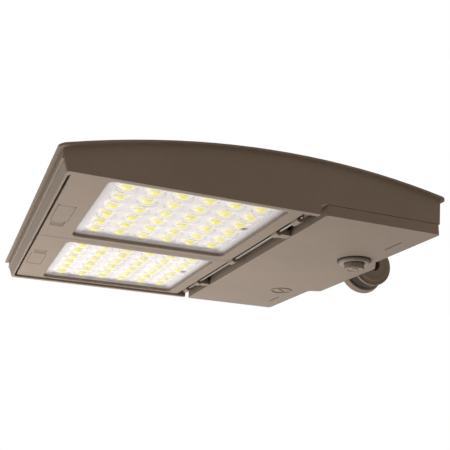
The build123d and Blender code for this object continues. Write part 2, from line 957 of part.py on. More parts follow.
def terminal_block():
    x0, y0 = terminal_x, terminal_y
    z0 = terminal_top - terminal_height
    body = block(x0, x0 + terminal_width, y0, y0 + terminal_length, z0, terminal_top)
    pitch = terminal_length / terminal_ways
    half = (pitch - terminal_rim) / 2
    well = x0 + terminal_rim
    for k in range(terminal_ways):
        y = y0 + (k + 0.5) * pitch
        body -= block(well, well + terminal_well, y - half, y + half, z0 - 1, z0 + terminal_height / 2)
    return body


def knuckle_arm():
    """Arm on the back wall of the housing, ending in the flanged clamping disc."""
    y0 = hub_split + knuckle_gap / 2
    middle = (pivot_x, (y0 + disc_y1) / 2, pivot_z)
    body = Pos(*middle) * Rot(90, 0, 0) * Cone(disc_far_radius, disc_radius, disc_y1 - y0)
    body += pin_y(pivot_x, pivot_z, arm_boss_radius, disc_y1, arm_boss_y)
    body += block(door_x1 - 1, pivot_x, y0, arm_beam_y, arm_z0, arm_z1)
    low, high = root_y - root_width / 2, root_y + root_width / 2
    body += rounded_side(door_x1 - 1, door_x1 + root_thickness, low, high, arm_z0, arm_z1, root_corner)
    gusset = Polyline(
        (door_x1, arm_beam_y - 1), (pivot_x - arm_boss_radius / 2, arm_beam_y - 1),
        (door_x1, high - root_bolt_inset - root_bolt_flats / 2),
        close=True,
    )
    body += extrude(Pos(0, 0, arm_z0 + web_inset) * make_face(gusset), arm_height - 2 * web_inset)
    body -= housing_envelope()
    body -= pin_y(pivot_x, pivot_z, pivot_bolt + bolt_running, y0 - 1, arm_boss_y + 1)
    for y in root_bolt_places():
        body -= bolt_shank((door_x1 - wall, y, root_z()), (1, 0, 0), root_bolt, 3 * root_thickness)
    return body


def rounded_side(x0, x1, y0, y1, z0, z1, radius):
    outline = Pos((y0 + y1) / 2, (z0 + z1) / 2) * RectangleRounded(y1 - y0, z1 - z0, radius)
    return extrude(Plane.YZ.offset(x0) * outline, x1 - x0)


def arm_bolts():
    x0 = door_x1 - wall
    return group(
        prism((x0, y, root_z()), (-1, 0, 0), root_bolt_flats, root_bolt_head)
        + bolt_shank((x0, y, root_z()), (1, 0, 0), root_bolt, wall + root_thickness)
        for y in root_bolt_places()
    )


def slip_fitter():
    """Hub, neck and cup in one casting; the cup slides over the pole's tenon."""
    y0, y1 = -hub_near, hub_split - knuckle_gap / 2
    body = pin_y(pivot_x, pivot_z, hub_radius, y0, y1)
    neck = [
        (pivot_x + neck_half, pivot_z),
        (pivot_x + neck_half, cup_z0 + cup_floor / 2),
        (pivot_x - neck_half, cup_z0 + cup_floor / 2),
        (pivot_x - neck_half, pivot_z),
    ]
    body += side_plate(neck, y0, y1)
    cup = pin_z(cup_x, 0, cup_radius, cup_z0, mouth_z)
    lowest = cup.edges().filter_by(GeomType.CIRCLE).sort_by(Axis.Z)[0]
    body += chamfer([lowest], cup_chamfer)
    half = pad_width / 2
    low, high = set_bolt_levels()
    for side in sides.values():
        y_in, y_out = sorted((side * (cup_radius - pad_sink), side * (cup_radius + pad_proud)))
        body += block(cup_x - half, cup_x + half, y_in, y_out, low - half, high + half)

    # stepped face round the bolt's recess, then the bores
    body += pin_y(pivot_x, pivot_z, face_step_radius, y0 - face_step, y0)
    body += pin_y(pivot_x, pivot_z, face_radius, y0 - face_height, y0)
    body -= pin_y(pivot_x, pivot_z, bolt_recess, y0 - face_height - 1, -pivot_head_back)
    body -= pin_y(pivot_x, pivot_z, pivot_bolt, -hub_near, y1 + 1)
    body -= pin_z(cup_x, 0, bore_radius, bore_z0, mouth_z + 1)
    for z in set_bolt_levels():
        body -= bolt_shank((cup_x, -2 * cup_radius, z), (0, 1, 0), set_bolt, 4 * cup_radius)
    return body


def set_bolt_levels():
    return (bore_z0 + set_bolt_low, bore_z0 + set_bolt_high)


def set_bolts():
    bolts = []
    seat = cup_radius + pad_proud
    for z in set_bolt_levels():
        for side in sides.values():
            centre = (cup_x, side * seat, z)
            head = prism(centre, (0, side, 0), set_bolt_flats, set_bolt_head)
            bolts.append(head + bolt_shank(centre, (0, -side, 0), set_bolt, seat - bore_radius))
    return group(bolts)


def pivot_screw():
    """Socket-head bolt, its head down in the hub's recess."""
    head_y = -pivot_head_back - pivot_head_height
    body = pin_y(pivot_x, pivot_z, pivot_head_radius, head_y, -pivot_head_back)
    tail = arm_boss_y + washer_thickness + pivot_nut_height + pivot_tail
    body += pin_y(pivot_x, pivot_z, pivot_bolt, -pivot_head_back, tail)
    return body - prism((pivot_x, head_y, pivot_z), (0, 1, 0), hex_socket_flats, hex_socket_depth)


def pivot_nut():
    y0 = arm_boss_y + washer_thickness
    nut = prism((pivot_x, y0, pivot_z), (0, 1, 0), pivot_nut_flats, pivot_nut_height)
    return nut - pin_y(pivot_x, pivot_z, pivot_bolt, y0 - 1, y0 + pivot_nut_height + 1)


def pivot_washer():
    y0, y1 = arm_boss_y, arm_boss_y + washer_thickness
    washer = pin_y(pivot_x, pivot_z, washer_radius, y0, y1)
    return washer - pin_y(pivot_x, pivot_z, pivot_bolt, y0 - 1, y1 + 1)


def both_sides(name, maker):
    return {name + "_" + label: maker(side) for label, side in sides.items()}


def all_parts():
    parts = {
        "slip_fitter": slip_fitter(),
        "tenon_bolts": set_bolts(),
        "pivot_bolt": pivot_screw(),
        "pivot_nut": pivot_nut(),
        "pivot_washer": pivot_washer(),
        "housing": housing(),
        "cooling_fins": cooling_fins(),
        "knuckle_arm": knuckle_arm(),
        "arm_bolts": arm_bolts(),
        "frame_screws": frame_screws(),
        "lead_grommets": lead_grommets(),
        "hinge_rod": hinge_rod(),
        "led_driver": led_driver(),
        "driver_screws": driver_screws(),
        "surge_protector": surge_protector(),
        "terminal_block": terminal_block(),
        "driver_door": driver_door(),
        "door_gasket": door_gasket(),
        "receptacle_gasket": receptacle_gasket(),
        "receptacle_ring": receptacle_ring(),
        "receptacle_plug": receptacle_plug(),
        "receptacle_nut": receptacle_nut(),
        "door_latch": door_latch(),
        "latch_tongue": latch_tongue(),
        "latch_nut": latch_nut(),
    }
    parts.update(both_sides("optic_frame", optic_frame))
    parts.update(both_sides("lens", lens))
    parts.update(both_sides("lens_gasket", lens_gasket))
    parts.update(both_sides("led_board", led_board))
    parts.update(both_sides("led_chips", led_chips))
    parts.update(both_sides("selector_cover", selector_cover))
    parts.update(both_sides("cover_pin", cover_hinge_pin))
    parts.update(both_sides("switch_body", switch_body))
    parts.update(both_sides("selector_knob", selector_knob))
    return parts


os.makedirs("parts", exist_ok=True)
for name, shape in all_parts().items():
    placed = Pos(-cup_x, 0, -mouth_z) * shape
    export_step(placed, os.path.join("parts", name + ".step"))
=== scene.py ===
import math
from collections import namedtuple
import bpy
import bmesh
from mathutils import Euler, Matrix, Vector


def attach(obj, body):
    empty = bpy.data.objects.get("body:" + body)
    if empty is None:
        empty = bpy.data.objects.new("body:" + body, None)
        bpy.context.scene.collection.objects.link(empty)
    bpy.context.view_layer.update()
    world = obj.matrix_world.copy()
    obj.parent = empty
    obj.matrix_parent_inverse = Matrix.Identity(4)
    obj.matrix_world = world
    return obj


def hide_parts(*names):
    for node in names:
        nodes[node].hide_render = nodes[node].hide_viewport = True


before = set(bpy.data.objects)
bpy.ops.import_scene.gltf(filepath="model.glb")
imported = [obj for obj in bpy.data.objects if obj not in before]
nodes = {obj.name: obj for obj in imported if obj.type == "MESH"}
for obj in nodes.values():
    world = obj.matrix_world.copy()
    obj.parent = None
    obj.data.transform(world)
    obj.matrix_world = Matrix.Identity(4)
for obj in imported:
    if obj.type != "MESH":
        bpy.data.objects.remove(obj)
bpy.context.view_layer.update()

# Camera of the photograph, found from the grid of optics
PHOTO_SIZE = 450
FOCAL_PIXELS = 723.85
SENSOR_MM = 36.0
CAMERA_AT = (-0.45563, -0.72941, -0.33502)
CAMERA_TURN = (108.55, -1.745, -22.153)
CLIP_START = 0.01

# Head coordinates of the CAD model in millimetres: X = 0 is the front row of LEDs, Z = 0 their face
HEAD_X = 321.3
HEAD_Z = 108.2
SIDES = {"near": -1, "far": 1}

# Grid of LEDs, and the clear plate over it
PITCH = 25.4
ROWS = 6
COLUMNS = 6
MODULE_X = PITCH * (ROWS - 1) / 2
MODULE_Y = 94.5
LED_FACE = 0.0
PLATE_HALF = 87.0
PLATE_CUT = 6.0
PLATE_FACE = -2.5
PLATE_BACK = -0.5
PLATE_BEVEL = 0.4
OPTIC_CORNERS = 8
OPTIC_FLATNESS = 0.55

# Domes over the LEDs. The foot reaches into what carries a dome, and a fullness below 1 squares its curve.
Dome = namedtuple("Dome", "radius height foot fullness steps segments")
OPTIC = Dome(radius=9.3, height=2.6, foot=0.5, fullness=0.8, steps=9, segments=32)
BLOB = Dome(radius=5.4, height=3.0, foot=0.9, fullness=0.9, steps=7, segments=24)

# Sensor port: a screw-in plug in a flanged bush
PORT_X = 277.0
PORT_Y = -75.0
PORT_FACE = -11.9
PLUG_RADIUS = 10.6
PLUG_HEIGHT = 7.0
PLUG_SEAT = 1.0
PLUG_FLUTES = 28
FLUTE_DEPTH = 0.06
STEM_RADIUS = 8.48
BUSH_BORE = STEM_RADIUS + 0.02
BUSH_LENGTH = 14.9
THREAD_RADIUS = 12.5
RECESS_RADIUS = 11.4
RECESS_DEPTH = 0.9
FLANGE_FACE_RADIUS = 15.4
FLANGE_RADIUS = 16.7
FLANGE_THICKNESS = 2.4
FLANGE_RIBS = 40
RIB_DEPTH = 0.012
POINTS_PER_RIB = 6

# Latch on the door's face
LATCH_X = 270.0
LATCH_Y = 89.0
DOOR_FACE = -8.0
LATCH_RIM_INNER = 11.7
LATCH_RIM_OUTER = 13.5
LATCH_RIM_HEIGHT = 1.0
LATCH_RIM_SEGMENTS = 96

# Knuckle: hub of the slip fitter, with its serrated barrel and its tilt scale
PIVOT_X = 340.3
PIVOT_Z = 11.0
HUB_FACE = -17.7
BARREL_START = (25.2, 25.6)
BARREL_END = (26.2, 26.8)
BARREL_FRONT = (-11.8, -10.8)
SERRATIONS = 120
TICKS = 19
TICK_STEP = 10
FIRST_TICK = -60
LONG_TICK_EVERY = 3
TICK_OUTER = 19.0
LONG_TICK_INNER = 14.2
SHORT_TICK_INNER = 15.6
TICK_HALF_WIDTH = 0.28
TICK_HEIGHT = 0.25

# Powder coats, as sRGB: the coat, its mottling, its pale specks, its edges rubbed thin and lit by a painted
# highlight, and the painted shade in its gaps
Coat = namedtuple("Coat", "body mottle speck worn gap")
BRONZE = Coat("96887b", "8c7e71", "aa9e92", "c6bbaf", "1e1711")
FRAME_BRONZE = Coat("98897b", "8e8073", "aa9e92", "c2b6aa", None)
PORT_GREY = Coat("a2968a", "877b6f", "bfb4a8", "d2c8bc", "17110c")
KNURLED_GREY = Coat("9c8f83", "7b6f64", "d2c8bc", "dad0c4", "17110c")

# Patterns of a powder coat, in cells per metre, and the depth of its orange peel in metres
MOTTLE_SCALE = 7.0
SPECK_SCALE = 900.0
WEAR_AND_HIGHLIGHT_SCALE = 90.0
PEEL_SCALE = 520.0
PEEL_DEPTH = 0.00012
# Pits are spread over each piece's own box, so a small piece has finer ones
PIT_SCALE = 650.0
# Painted shade in troughs and in seams
TROUGH_REACH = 0.03
TROUGH_SHARES = (0.12, 0.44)
SEAM_REACH = 0.003
SEAM_SHARES = (0.12, 0.55)

# Studio
FLOOR_LEVEL = -1.1
FLOOR_HALF = 6.0
FLOOR_COLOUR = (0.86, 0.88, 0.9, 1.0)
WORLD_COLOUR = (1.0, 0.86, 0.74, 1.0)
WORLD_STRENGTH = 0.33
WHITE = (1.0, 1.0, 1.0, 1.0)


def place(x, y, z):
    """Point of the frame, in metres, from head coordinates in millimetres."""
    return Vector(((x - HEAD_X) / 1000, y / 1000, (z - HEAD_Z) / 1000))


def colour(hexa):
    """Linear colour of an sRGB hex string."""
    parts = [int(hexa[i:i + 2], 16) / 255 for i in (0, 2, 4)]
    linear = [c / 12.92 if c <= 0.04045 else ((c + 0.055) / 1.055) ** 2.4 for c in parts]
    return (*linear, 1.0)


def darkened(tone, share):
    """Linear colour at a share of its level."""
    return (*[c * share for c in tone[:3]], 1.0)


class Shader:
    """Small helper that builds the nodes of a material or of the world."""

    def __init__(self, owner, output="ShaderNodeOutputMaterial"):
        owner.use_nodes = True
        self.owner = owner
        self.tree = owner.node_tree
        self.tree.nodes.clear()
        self.output = self.add(output)

    def add(self, kind, values=(), **settings):
        node = self.tree.nodes.new(kind)
        for key, value in settings.items():
            setattr(node, key, value)
        for key, value in dict(values).items():
            node.inputs[key].default_value = value
        return node

    def link(self, source, target):
        self.tree.links.new(source, target)

    def feed(self, value, socket):
        """Sets a socket to a number or a colour, or links it to an output."""
        if isinstance(value, (int, float, tuple)):
            socket.default_value = value
        else:
            self.link(value, socket)

    def coordinates(self, kind="Object"):
        return self.add("ShaderNodeTexCoord").outputs[kind]

    def axes(self):
        """Place on the piece as X, Y and Z, in metres of the frame."""
        node = self.add("ShaderNodeSeparateXYZ")
        self.link(self.coordinates(), node.inputs[0])
        return node.outputs

    def noise(self, scale, detail=2.0, roughness=0.5, where=None):
        node = self.add("ShaderNodeTexNoise", {"Scale": scale, "Detail": detail, "Roughness": roughness})
        self.link(where or self.coordinates(), node.inputs["Vector"])
        return node.outputs["Fac"]

    def ramp(self, source, span, to=(0.0, 1.0), smooth=False):
        """Carries a span of the source over to another span, and holds its ends beyond it."""
        values = {"From Min": span[0], "From Max": span[1], "To Min": to[0], "To Max": to[1]}
        node = self.add("ShaderNodeMapRange", values)
        if smooth:
            node.interpolation_type = "SMOOTHSTEP"
        self.link(source, node.inputs["Value"])
        return node.outputs["Result"]

    def math(self, operation, *values):
        node = self.add("ShaderNodeMath", operation=operation)
        for socket, value in zip(node.inputs, values):
            self.feed(value, socket)
        return node.outputs["Value"]

    def mix(self, factor, first, second):
        """Colour between two colours."""
        node = self.add("ShaderNodeMix", data_type="RGBA")
        self.feed(factor, node.inputs["Factor"])
        sockets = {s.name: s for s in node.inputs if s.type == "RGBA"}
        self.feed(first, sockets["A"])
        self.feed(second, sockets["B"])
        return [s for s in node.outputs if s.type == "RGBA"][0]

    def bump(self, height, strength, distance, normal=None):
        node = self.add("ShaderNodeBump", {"Strength": strength, "Distance": distance})
        self.link(height, node.inputs["Height"])
        if normal is not None:
            self.link(normal, node.inputs["Normal"])
        return node.outputs["Normal"]

    def principled(self, **values):
        """Principled shader on the output. In the names of its settings a _ stands for a space."""
        settings = {key.replace("_", " "): value for key, value in values.items()}
        node = self.add("ShaderNodeBsdfPrincipled", settings)
        self.link(node.outputs["BSDF"], self.output.inputs["Surface"])
        return node

    def either(self, factor, first, second):
        """Two shaders by a factor, on the output."""
        node = self.add("ShaderNodeMixShader")
        self.link(factor, node.inputs["Fac"])
        self.link(first, node.inputs[1])
        self.link(second, node.inputs[2])
        self.link(node.outputs["Shader"], self.output.inputs["Surface"])

    def led_grid(self):
        """Place on the board in rows and columns of LEDs."""
        x, y = self.axes()[:2]
        along = self.math("DIVIDE", self.math("ADD", x, HEAD_X / 1000), PITCH / 1000)
        first_column = MODULE_Y - PITCH * (COLUMNS - 1) / 2
        across = self.math("SUBTRACT", self.math("ABSOLUTE", y), first_column / 1000)
        return along, self.math("DIVIDE", across, PITCH / 1000)

    def led_margin(self):
        """Distance in millimetres beyond the outermost LEDs, less than zero among them."""
        along, across = self.led_grid()
        aside = [self.math("ABSOLUTE", self.math("SUBTRACT", value, (count - 1) / 2))
                 for value, count in ((along, ROWS), (across, COLUMNS))]
        beyond = self.math("SUBTRACT", self.math("MAXIMUM", *aside), (ROWS - 1) / 2)
        return self.math("MULTIPLY", beyond, PITCH)

    def led_distance(self):
        """Distance in millimetres, across the board, from the nearest LED."""
        along, across = self.led_grid()
        squares = []
        for value, count in ((along, ROWS), (across, COLUMNS)):
            nearest = self.math("ROUND", value)
            nearest = self.math("MAXIMUM", self.math("MINIMUM", nearest, count - 1), 0.0)
            offset = self.math("ABSOLUTE", self.math("SUBTRACT", value, nearest))
            squares.append(self.math("POWER", offset, 2.0))
        return self.math("MULTIPLY", self.math("SQRT", self.math("ADD", *squares)), PITCH)

    def crevice_shade(self, tone, reach, shares, gap):
        """Painted shade: a darker tone in gaps and corners, where light seldom reaches.

        The shares are how much of the surroundings, as far as the reach in metres, a point sees where the
        painted shade is full and where it ends.
        """
        sky = self.add("ShaderNodeAmbientOcclusion", {"Distance": reach}, samples=8)
        depth = self.ramp(sky.outputs["AO"], shares, (1.0, 0.0), smooth=True)
        return self.mix(depth, tone, colour(gap))

    def edge_wear_and_highlight(self, radius, amount):
        """Mask of the edges, where the coat is rubbed thin and where a painted highlight goes: where a
        softened normal leaves the true one.
        """
        soft = self.add("ShaderNodeBevel", {"Radius": radius}, samples=4)
        true = self.add("ShaderNodeNewGeometry")
        dot = self.add("ShaderNodeVectorMath", operation="DOT_PRODUCT")
        self.link(soft.outputs["Normal"], dot.inputs[0])
        self.link(true.outputs["Normal"], dot.inputs[1])
        return self.ramp(dot.outputs["Value"], (0.995, 0.8), (0.0, amount))


def new_shader(name):
    """Shader helper on a new material."""
    return Shader(bpy.data.materials.new(name))


def powder_coat(name, coat, roughness=0.62, rounding=0.0009, marks=None):
    """Matt powder coat: fine orange peel, faint mottling, painted shade in its gaps, and edges lighter
    where the coat is thin and as a painted highlight.

    The rounding is the radius of the edges in metres. Marks is a function that draws on the coat's tone.
    """
    s = new_shader(name)
    where = s.coordinates()
    cloud = s.noise(MOTTLE_SCALE, 4.0, 0.6, where)
    tone = s.mix(s.ramp(cloud, (0.36, 0.64)), colour(coat.mottle), colour(coat.body))
    specks = s.noise(SPECK_SCALE, 1.0, where=where)
    tone = s.mix(s.ramp(specks, (0.60, 0.74), (0.0, 0.30)), tone, colour(coat.speck))
    pits = s.noise(PIT_SCALE, 1.0, where=s.coordinates("Generated"))
    tone = s.mix(s.ramp(pits, (0.70, 0.76), (0.0, 0.25)), tone, colour(coat.mottle))
    # Painted shade in troughs and seams, darker where little light reaches
    if coat.gap:
        tone = s.crevice_shade(tone, TROUGH_REACH, TROUGH_SHARES, coat.gap)
        tone = s.crevice_shade(tone, SEAM_REACH, SEAM_SHARES, coat.gap)
    # Edges lighter: partly a coat rubbed thin, partly a painted highlight
    wear_and_highlight_patches = s.ramp(s.noise(WEAR_AND_HIGHLIGHT_SCALE, 3.0, where=where), (0.35, 0.65), (0.35, 1.0))
    tone = s.mix(s.math("MULTIPLY", s.edge_wear_and_highlight(rounding, 0.55), wear_and_highlight_patches), tone, colour(coat.worn))
    if marks:
        tone = marks(s, tone)
    shader = s.principled(IOR=1.45, Specular_IOR_Level=0.22)
    s.link(tone, shader.inputs["Base Color"])
    sheen = s.ramp(cloud, (0.3, 0.7), (roughness - 0.06, roughness + 0.06))
    s.link(sheen, shader.inputs["Roughness"])
    rounded = s.add("ShaderNodeBevel", {"Radius": rounding}, samples=4)
    peel = s.noise(PEEL_SCALE, where=where)
    s.link(s.bump(peel, 0.35, PEEL_DEPTH, rounded.outputs["Normal"]), shader.inputs["Normal"])
    return s.owner


def painted_barrel_shade(s, tone):
    """Painted shade on the barrel between the hub's face and the clamping disc, in near-black stripes for
    its teeth.
    """
    def metres(span):
        return [v / 1000 for v in span]

    axes = s.axes()
    x = s.math("SUBTRACT", axes["X"], (PIVOT_X - HEAD_X) / 1000)
    z = s.math("SUBTRACT", axes["Z"], (PIVOT_Z - HEAD_Z) / 1000)
    reach = s.math("SQRT", s.math("ADD", s.math("MULTIPLY", x, x), s.math("MULTIPLY", z, z)))
    barrel = s.ramp(reach, metres(BARREL_START))
    barrel = s.math("MULTIPLY", barrel, s.ramp(reach, metres(BARREL_END), (1.0, 0.0)))
    barrel = s.math("MULTIPLY", barrel, s.ramp(axes["Y"], metres(BARREL_FRONT)))
    wave = s.math("SINE", s.math("MULTIPLY", s.math("ARCTAN2", z, x), SERRATIONS))
    # Painted shade: both stripe tones are near black
    groove = s.mix(s.ramp(wave, (-1.0, 1.0)), colour("17100a"), colour("372c22"))
    return s.mix(barrel, tone, groove)


def plain(name, tone, roughness, metallic=0.0):
    """Moulded plastic, rubber or metal with slight mottling and a fine grain."""
    s = new_shader(name)
    where = s.coordinates()
    cloud = s.noise(25.0, 3.0, where=where)
    shader = s.principled(Metallic=metallic)
    s.link(s.mix(cloud, darkened(colour(tone), 0.84), colour(tone)), shader.inputs["Base Color"])
    sheen = s.ramp(cloud, (0.3, 0.7), (roughness - 0.06, roughness + 0.08))
    s.link(sheen, shader.inputs["Roughness"])
    s.link(s.bump(s.noise(300.0, where=where), 0.1, 0.0001), shader.inputs["Normal"])
    return s.owner


def drawn_steel():
    """Steel with fine drawn lines along the Y axis."""
    s = new_shader("drawn_steel")
    along_y = s.add("ShaderNodeMapping", {"Scale": (1.0, 0.02, 1.0)})
    s.link(s.coordinates(), along_y.inputs["Vector"])
    lines = s.noise(900.0, where=along_y.outputs["Vector"])
    tone = colour("7d766e")
    shader = s.principled(Metallic=1.0)
    s.link(s.mix(s.noise(40.0, 3.0), darkened(tone, 0.7), tone), shader.inputs["Base Color"])
    s.link(s.ramp(lines, (0.3, 0.7), (0.34, 0.54)), shader.inputs["Roughness"])
    s.link(s.bump(lines, 0.15, 0.00005), shader.inputs["Normal"])
    return s.owner


def clear_lens():
    """Moulded clear plastic: mostly see-through, with faint grey rings of painted shade where each optic
    meets the plate.
    """
    s = new_shader("clear_lens")
    # Painted shade: a grey ring at each optic's foot
    ring = s.math("ABSOLUTE", s.math("SUBTRACT", s.led_distance(), OPTIC.radius))
    ring = s.ramp(ring, (0.0, 0.9), (1.0, 0.0), smooth=True)
    ring = s.math("MULTIPLY", ring, s.ramp(s.noise(60.0), (0.35, 0.65), (0.4, 1.0)))
    rim = s.ramp(s.led_margin(), (9.5, 12.5), smooth=True)
    tone = s.mix(ring, colour("f4f3f4"), colour("8d878b"))
    tone = s.mix(rim, tone, colour("eae7ea"))
    shader = s.add("ShaderNodeBsdfPrincipled", {"Roughness": 0.12, "IOR": 1.49})
    s.link(tone, shader.inputs["Base Color"])
    body = s.math("MAXIMUM", s.math("MULTIPLY", ring, 0.42), s.ramp(rim, (0.0, 1.0), (0.13, 0.5)))
    s.link(body, shader.inputs["Alpha"])
    s.link(s.bump(s.noise(160.0), 0.15, 0.0002), shader.inputs["Normal"])
    nothing = s.add("ShaderNodeBsdfTransparent", {"Color": WHITE})
    rays = s.add("ShaderNodeLightPath").outputs
    s.either(rays["Is Shadow Ray"], shader.outputs["BSDF"], nothing.outputs["BSDF"])
    return s.owner


def board_coat():
    """White solder mask: cream at the LEDs, and painted shade of the optics over it: a grey ring at each
    optic's foot, greyer beyond it and between them.
    """
    s = new_shader("white_board")
    away = s.led_distance()
    tone = s.mix(s.ramp(away, (5.0, 8.0), (1.0, 0.0), smooth=True), colour("fbf9f9"), colour("fcf6e0"))
    # Painted shade of the optics: grey at each optic's foot, beyond it, and between the LEDs
    foot = s.math("ABSOLUTE", s.math("SUBTRACT", away, 10.6))
    tone = s.mix(s.ramp(foot, (0.0, 0.9), (0.5, 0.0), smooth=True), tone, colour("a9a2a5"))
    tone = s.mix(s.ramp(away, (10.5, 13.0), smooth=True), tone, colour("e9e5e8"))
    tone = s.mix(s.ramp(away, (16.0, 21.0), (0.0, 0.8), smooth=True), tone, colour("b8b2b8"))
    tone = s.mix(s.ramp(s.noise(55.0, 1.0), (0.60, 0.64), (0.0, 0.12)), tone, colour("c8c8cc"))
    shader = s.principled(Roughness=0.55)
    s.link(tone, shader.inputs["Base Color"])
    s.link(s.bump(s.noise(800.0), 0.08, 0.0001), shader.inputs["Normal"])
    return s.owner


def phosphor():
    """Yellow phosphor under clear silicone, deeper in the middle and paler at its rim.

    Most of its tone is given off evenly, as the photograph shows no shading on the LEDs.
    """
    s = new_shader("led_phosphor")
    rim = s.ramp(s.led_distance(), (2.0, BLOB.radius), smooth=True)
    tone = s.mix(rim, colour("fae431"), colour("fbf7cc"))
    tone = s.mix(s.ramp(s.noise(30.0, 1.0), (0.4, 0.6), (0.0, 0.35)), tone, colour("f0e458"))
    # Painted light: the unlit phosphor glows so that it shows no shading, and its base is darkened to match
    shader = s.principled(Roughness=0.25, IOR=1.41, Emission_Strength=0.82)
    s.link(s.mix(0.8, tone, colour("000000")), shader.inputs["Base Color"])
    s.link(tone, shader.inputs["Emission Color"])
    s.link(s.bump(s.noise(500.0), 0.05, 0.0001), shader.inputs["Normal"])
    return s.owner


def set_material(names, material):
    for name in names:
        mesh = nodes[name].data
        mesh.materials.clear()
        mesh.materials.append(material)


def both(*names):
    """Names of nodes that the near and the far module have each."""
    return [n + "_" + side for n in names for side in SIDES]


def add_object(name, data):
    thing = bpy.data.objects.new(name, data)
    bpy.context.scene.collection.objects.link(thing)
    return thing


def finished_mesh(name, shape, smooth):
    """Mesh from a bmesh, with its faces turned outwards."""
    bmesh.ops.recalc_face_normals(shape, faces=shape.faces)
    mesh = bpy.data.meshes.new(name)
    shape.to_mesh(mesh)
    shape.free()
    mesh.polygons.foreach_set("use_smooth", [smooth] * len(mesh.polygons))
    return mesh


def new_piece(name, mesh, material, body):
    """Object with its material that rides on a body."""
    mesh.materials.append(material)
    piece = add_object(name, mesh)
    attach(piece, body)
    return piece


def bridge(shape, low, high):
    """Faces between two rings of points. One of them may be a single point."""
    for k in range(max(len(low), len(high))):
        after = k + 1
        corners = [low[k % len(low)], low[after % len(low)], high[after % len(high)], high[k % len(high)]]
        shape.faces.new(list(dict.fromkeys(corners)))


def revolve(shape, centre, profile, segments, outline=None):
    """Adds rings round an axis that points down, from pairs of radius and height in millimetres.

    The outline is a function that gives the share of the radius at an angle.
    """
    down = Vector((0, 0, 1)).rotation_difference(Vector((0, 0, -1))).to_matrix()
    rings = []
    for radius, height in profile:
        ring = []
        for k in range(segments if radius else 1):
            angle = 2 * math.pi * k / segments
            reach = radius / 1000 * (outline(angle) if outline else 1.0)
            point = Vector((reach * math.cos(angle), reach * math.sin(angle), height / 1000))
            ring.append(shape.verts.new(centre + down @ point))
        rings.append(ring)
    for low, high in zip(rings, rings[1:]):
        bridge(shape, low, high)
    return rings


def led_places(side):
    for row in range(ROWS):
        for column in range(COLUMNS):
            yield row * PITCH, side * (MODULE_Y + (column - (COLUMNS - 1) / 2) * PITCH)


def optic_outline(angle):
    """Rounded eight-sided outline of one optic."""
    corner = 2 * math.pi / OPTIC_CORNERS
    flat = math.cos(corner / 2) / math.cos(angle % corner - corner / 2)
    return OPTIC_FLATNESS * flat + 1 - OPTIC_FLATNESS


def add_domes(shape, side, dome, carrier, outline=None):
    """A dome at each LED of a module, hanging from the face of what carries it."""
    profile = [(0.0, -dome.foot), (dome.radius, -dome.foot)]
    for k in range(dome.steps):
        angle = math.pi / 2 * k / dome.steps
        profile.append((dome.radius * math.cos(angle) ** dome.fullness, dome.height * math.sin(angle)))
    profile.append((0.0, dome.height))
    for x, y in led_places(side):
        revolve(shape, place(x, y, carrier), profile, dome.segments, outline)


def add_plate(shape, side):
    """Flat plate over a module, with cut corners and bevelled edges."""
    half, inner = PLATE_HALF, PLATE_HALF - PLATE_CUT
    corners = [(-inner, -half), (inner, -half), (half, -inner), (half, inner),
               (inner, half), (-inner, half), (-half, inner), (-half, -inner)]
    bevelled = 1 - PLATE_BEVEL / PLATE_HALF
    layers = []
    for z, share in ((PLATE_FACE, bevelled), (PLATE_FACE + PLATE_BEVEL, 1.0),
                     (PLATE_BACK - PLATE_BEVEL, 1.0), (PLATE_BACK, bevelled)):
        layers.append([shape.verts.new(place(MODULE_X + x * share, side * MODULE_Y + y * share, z))
                       for x, y in corners])
    for low, high in zip(layers, layers[1:]):
        bridge(shape, low, high)
    shape.faces.new(layers[0])
    shape.faces.new(layers[-1])


def lens_piece(side_name, side, material):
    """Clear plate with an optic over each LED, as one closed body."""
    shape = bmesh.new()
    add_plate(shape, side)
    plate = add_object("plate", finished_mesh("plate", shape, False))
    shape = bmesh.new()
    add_domes(shape, side, OPTIC, PLATE_FACE, optic_outline)
    optics = add_object("optics", finished_mesh("optics", shape, True))
    union = plate.modifiers.new("union", "BOOLEAN")
    union.operation = "UNION"
    union.solver = "EXACT"
    union.object = optics
    whole = bpy.data.meshes.new_from_object(plate.evaluated_get(bpy.context.evaluated_depsgraph_get()))
    for helper in (plate, optics):
        bpy.data.objects.remove(helper)
    piece = new_piece("optic_plate_" + side_name, whole, material, "head")
    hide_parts("lens_" + side_name)


def blob_piece(side_name, side, material):
    """Silicone domes over the phosphor of each LED."""
    shape = bmesh.new()
    add_domes(shape, side, BLOB, LED_FACE)
    mesh = finished_mesh("led_dome_" + side_name, shape, True)
    new_piece("led_dome_" + side_name, mesh, material, "head")


def plug_piece(material):
    """Knurled screw-in plug of the sensor port."""
    def flutes(angle):
        return 1.0 - FLUTE_DEPTH * (0.5 + 0.5 * math.cos(PLUG_FLUTES * angle)) ** 2

    shape = bmesh.new()
    centre = place(PORT_X, PORT_Y, PORT_FACE)
    count = PLUG_FLUTES * POINTS_PER_RIB
    radius = PLUG_RADIUS
    grip = [(radius, -PLUG_SEAT), (radius, 0.6), (radius, 5.4), (radius - 0.6, 6.2)]
    crown = [(radius - 1.2, 6.6), (radius - 2.4, 6.7), (radius - 2.9, 6.0), (4.4, 5.8), (3.7, 6.8),
             (2.8, PLUG_HEIGHT), (0.0, PLUG_HEIGHT)]
    stem = [(STEM_RADIUS, -PLUG_SEAT), (STEM_RADIUS, -BUSH_LENGTH), (0.0, -BUSH_LENGTH)]
    grip_rings = revolve(shape, centre, grip, count, flutes)
    crown_rings = revolve(shape, centre, crown, count)
    stem_rings = revolve(shape, centre, stem, count)
    bridge(shape, grip_rings[-1], crown_rings[0])
    bridge(shape, grip_rings[0], stem_rings[0])
    mesh = finished_mesh("port_plug", shape, True)
    piece = new_piece("port_plug", mesh, material, "door")
    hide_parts("receptacle_plug")


